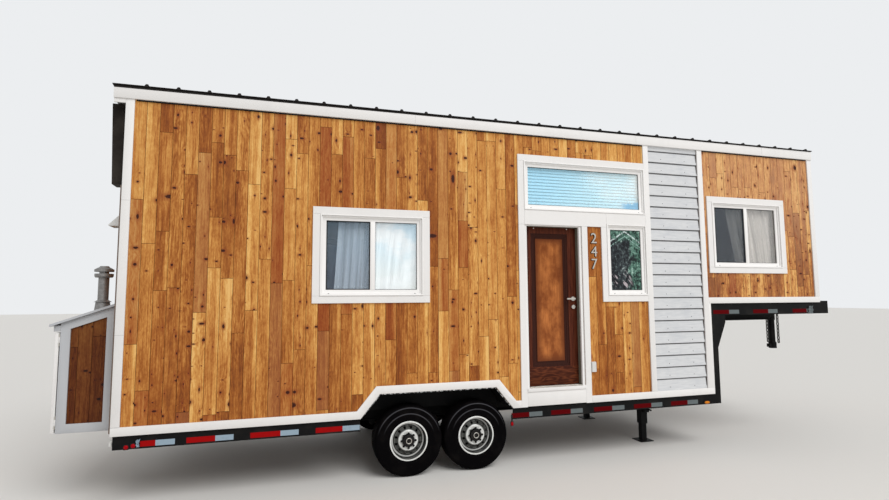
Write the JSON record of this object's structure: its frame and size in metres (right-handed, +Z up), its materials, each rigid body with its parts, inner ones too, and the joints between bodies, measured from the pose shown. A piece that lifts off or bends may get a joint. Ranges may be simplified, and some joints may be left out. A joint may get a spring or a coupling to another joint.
{
  "type": "tiny house on wheels",
  "caption": "Timber-clad tiny house on a gooseneck trailer, with a sloped metal roof, a front door that opens, windows, a rear utility closet and turning wheels.",
  "frame": {"origin": "on the ground under the middle of the box, between the two long sides", "axes": "+X along the house towards the hitch, +Y from the door side to the back, +Z up"},
  "size_m": [10.19, 2.6272, 4.1091],
  "materials": {
    "black_steel": "semi-gloss black paint",
    "tyre": "matte rubber",
    "silver_wheel": "silver paint",
    "framing": "planed softwood",
    "cedar_boards": "clear oiled, knotty",
    "lap_boards": "pale grey paint, satin",
    "white_boards": "white paint, satin",
    "roof_metal": "dark bronze paint",
    "closet_roof_metal": "grey paint",
    "white_vinyl": "satin white",
    "window_glass": "clear",
    "door_wood": "dark stain, satin varnish",
    "nickel": "satin nickel",
    "galvanised": "dull zinc",
    "bronze_metal": "dark bronze paint",
    "grey_plastic": "light grey"
  },
  "bodies": {
    "house": {"side_rails": "black_steel", "main_beams": "black_steel", "cross_members": "black_steel", "gooseneck_frame": "black_steel", "neck_beams": "black_steel", "hitch_coupler": "black_steel", "axles": "black_steel", "springs": "black_steel", "wheel_wells": "black_steel", "landing_legs": "black_steel", "floor": "framing", "near_wall_rear": "framing", "near_wall_over_door": "framing", "near_wall_front": "framing", "near_wall_gooseneck": "framing", "back_wall": "framing", "rear_wall": "framing", "riser_wall": "framing", "front_wall": "framing", "near_cladding": "cedar_boards", "back_cladding": "cedar_boards", "end_cladding": "cedar_boards", "lap_siding": "lap_boards", "corner_boards": "white_boards", "skirt_boards": "white_boards", "casings": "white_boards", "fascia_boards": "white_boards", "roof_deck": "framing", "metal_roof": "roof_metal", "window_frames": "white_vinyl", "window_glass": "window_glass", "door_frame": "white_boards", "hinges": "nickel", "closet_box": "framing", "closet_trim": "white_boards", "closet_roof": "closet_roof_metal", "vent_pipe": "galvanised", "service_box": "bronze_metal", "wall_fittings": "grey_plastic"},
    "front_door": {"front_door": "door_wood", "door_handle": "nickel"},
    "closet_door": {"closet_door": "white_boards"},
    "wheel_near_rear": {"tyre_near_rear": "tyre", "rim_near_rear": "silver_wheel"},
    "wheel_near_front": {"tyre_near_front": "tyre", "rim_near_front": "silver_wheel"},
    "wheel_back_rear": {"tyre_back_rear": "tyre", "rim_back_rear": "silver_wheel"},
    "wheel_back_front": {"tyre_back_front": "tyre", "rim_back_front": "silver_wheel"}
  },
  "joints": [
    {"name": "front_door_hinge", "type": "hinge", "parent": "house", "child": "front_door", "pos_m": [-0.129, -1.13134, 1.858], "axis": [0, 0, 1], "range_deg": [0, 90]},
    {"name": "closet_door_hinge", "type": "hinge", "parent": "house", "child": "closet_door", "pos_m": [-5.016, -0.98564, 1.16], "axis": [0, 0, 1], "range_deg": [0, 100]},
    {"name": "wheel_near_rear_spin", "type": "hinge", "parent": "house", "child": "wheel_near_rear", "pos_m": [-1.568, -1.09414, 0.385], "axis": [0, 1, 0], "continuous": true},
    {"name": "wheel_near_front_spin", "type": "hinge", "parent": "house", "child": "wheel_near_front", "pos_m": [-0.778, -1.09414, 0.385], "axis": [0, 1, 0], "continuous": true},
    {"name": "wheel_back_rear_spin", "type": "hinge", "parent": "house", "child": "wheel_back_rear", "pos_m": [-1.568, 1.09086, 0.385], "axis": [0, 1, 0], "continuous": true},
    {"name": "wheel_back_front_spin", "type": "hinge", "parent": "house", "child": "wheel_back_front", "pos_m": [-0.778, 1.09086, 0.385], "axis": [0, 1, 0], "continuous": true}
  ]
}
